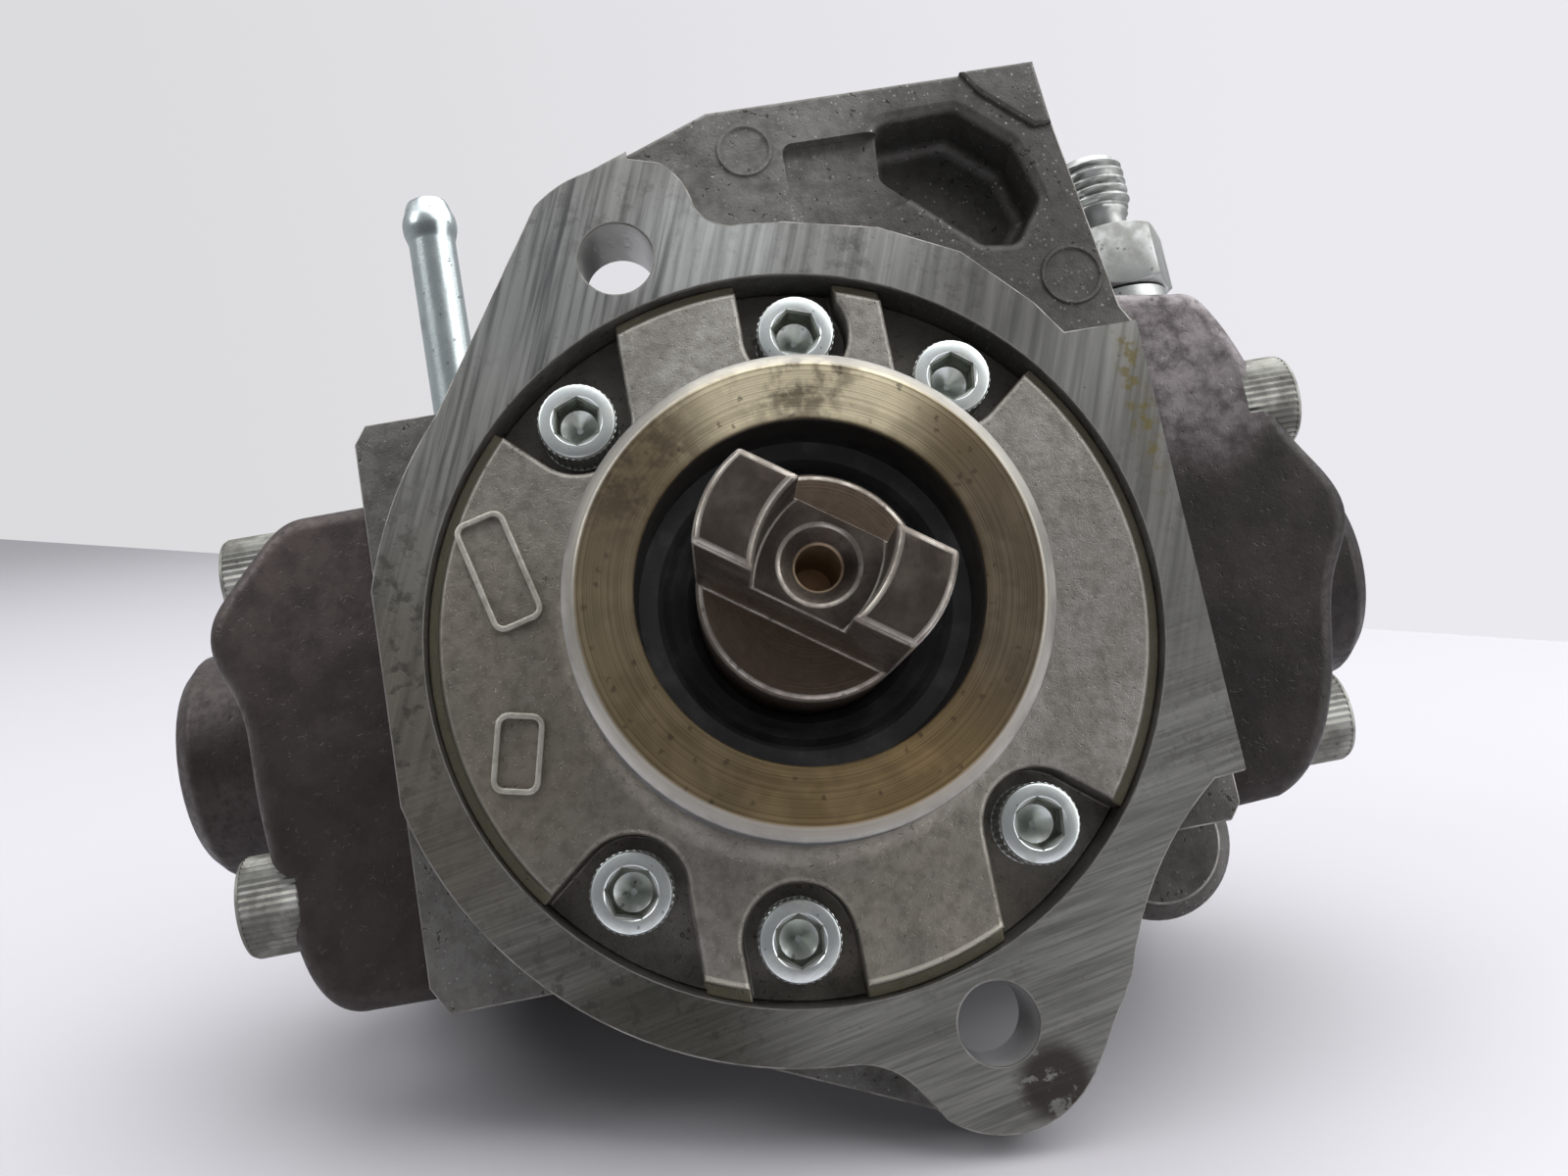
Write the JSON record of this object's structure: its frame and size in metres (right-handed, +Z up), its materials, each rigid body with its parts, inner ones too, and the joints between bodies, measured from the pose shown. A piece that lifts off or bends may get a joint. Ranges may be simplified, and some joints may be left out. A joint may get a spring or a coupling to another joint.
{
  "type": "diesel injection pump",
  "caption": "Diesel common-rail injection pump with opposed plungers, a cast flange body, a tongue-drive shaft and a vane-free rotor feed pump",
  "frame": {"origin": "shaft axis in the front face of the mounting flange, on the centre of the mounting bolt circle", "axes": "+X along the right-hand plunger, -Y out of the front along the shaft, +Z up past the return pipe"},
  "size_m": [0.172, 0.1612, 0.1569],
  "materials": {
    "body_aluminium": "die-cast, oil-stained, machined flange face",
    "cover_aluminium": "bright cast, sparkling",
    "head_steel": "dark oxidised forged steel",
    "shaft_steel": "ground, bright at worn edges",
    "bearing_bronze": "plain bearing bronze",
    "spring_steel": "drawn wire",
    "zinc_screw": "zinc plated",
    "zinc_fitting": "zinc plated, bright",
    "copper_washer": "soft copper",
    "seal_rubber": "black, matt",
    "connector_plastic": "black, glass filled",
    "sensor_brass": "turned brass"
  },
  "bodies": {
    "housing": {"pump_body": "body_aluminium", "front_cover": "cover_aluminium", "cover_o_ring": "seal_rubber", "pilot_o_ring": "seal_rubber", "cover_screws": "zinc_screw", "shaft_seal": "seal_rubber", "front_bush": "bearing_bronze", "rear_bush": "bearing_bronze", "plunger_spring_right": "spring_steel", "plunger_spring_left": "spring_steel", "head_right": "head_steel", "head_left": "head_steel", "head_o_ring_right": "seal_rubber", "head_o_ring_left": "seal_rubber", "head_bolts_right": "zinc_screw", "head_bolts_left": "zinc_screw", "valve_plug_right": "zinc_fitting", "valve_plug_left": "zinc_fitting", "suction_spring_right": "spring_steel", "suction_spring_left": "spring_steel", "high_pressure_union": "zinc_fitting", "union_washer": "copper_washer", "delivery_spring": "spring_steel", "return_pipe": "zinc_fitting", "rear_cover": "cover_aluminium", "rear_cover_o_ring": "seal_rubber", "rear_cover_bolts": "zinc_screw", "inlet_pipe": "zinc_fitting", "control_valve": "zinc_fitting", "control_connector": "connector_plastic", "control_o_ring": "seal_rubber", "control_spring": "spring_steel", "control_screws": "zinc_screw", "regulator_spring": "spring_steel", "regulator_plug": "zinc_fitting", "temperature_sensor": "sensor_brass", "sensor_connector": "connector_plastic"},
    "shaft": {"drive_shaft": "shaft_steel", "rotor_key": "shaft_steel", "inner_rotor": "shaft_steel"},
    "cam": {"cam_ring": "shaft_steel", "cam_ring_bush": "bearing_bronze"},
    "rotor_ring": {"outer_rotor": "shaft_steel"},
    "right_piston": {"tappet_right": "shaft_steel", "plunger_right": "shaft_steel"},
    "left_piston": {"tappet_left": "shaft_steel", "plunger_left": "shaft_steel"},
    "right_suction": {"suction_valve_right": "shaft_steel"},
    "left_suction": {"suction_valve_left": "shaft_steel"},
    "delivery": {"delivery_ball": "shaft_steel"},
    "needle": {"control_needle": "shaft_steel"},
    "regulator": {"regulator_piston": "shaft_steel"}
  },
  "joints": [
    {"name": "shaft_spin", "type": "hinge", "parent": "housing", "child": "shaft", "pos_m": [0, 0, 0], "axis": [0, -1, 0], "continuous": true},
    {"name": "cam_swing", "type": "hinge", "parent": "shaft", "child": "cam", "pos_m": [0, 0.041, 0.0029], "axis": [0, -1, 0], "continuous": true},
    {"name": "rotor_ring_spin", "type": "hinge", "parent": "housing", "child": "rotor_ring", "pos_m": [-0.0018, 0.07, 0], "axis": [0, -1, 0], "continuous": true},
    {"name": "right_piston_stroke", "type": "slide", "parent": "housing", "child": "right_piston", "axis": [1, 0, 0], "range_m": [0, 0.0058], "stiffness_N_per_m": 200, "springref_m": -0.001, "deforming": ["plunger_spring_right"]},
    {"name": "left_piston_stroke", "type": "slide", "parent": "housing", "child": "left_piston", "axis": [-1, 0, 0], "range_m": [0, 0.0058], "stiffness_N_per_m": 200, "springref_m": -0.001, "deforming": ["plunger_spring_left"]},
    {"name": "right_suction_lift", "type": "slide", "parent": "housing", "child": "right_suction", "axis": [1, 0, 0], "range_m": [0, 0.0008], "stiffness_N_per_m": 50, "springref_m": -0.001, "deforming": ["suction_spring_right"]},
    {"name": "left_suction_lift", "type": "slide", "parent": "housing", "child": "left_suction", "axis": [-1, 0, 0], "range_m": [0, 0.0008], "stiffness_N_per_m": 50, "springref_m": -0.001, "deforming": ["suction_spring_left"]},
    {"name": "delivery_lift", "type": "slide", "parent": "housing", "child": "delivery", "axis": [0, 0, 1], "range_m": [0, 0.0008], "stiffness_N_per_m": 50, "springref_m": -0.001, "deforming": ["delivery_spring"]},
    {"name": "needle_stroke", "type": "slide", "parent": "housing", "child": "needle", "axis": [0, 1, 0], "range_m": [0, 0.003], "stiffness_N_per_m": 50, "springref_m": -0.001, "deforming": ["control_spring"]},
    {"name": "regulator_stroke", "type": "slide", "parent": "housing", "child": "regulator", "axis": [0, 1, 0], "range_m": [0, 0.004], "stiffness_N_per_m": 50, "springref_m": -0.001, "deforming": ["regulator_spring"]}
  ],
  "couplings": [
    {"joint": "cam_swing", "follows": "shaft_spin", "ratio": -1},
    {"joint": "rotor_ring_spin", "follows": "shaft_spin", "ratio": 0.85714}
  ]
}
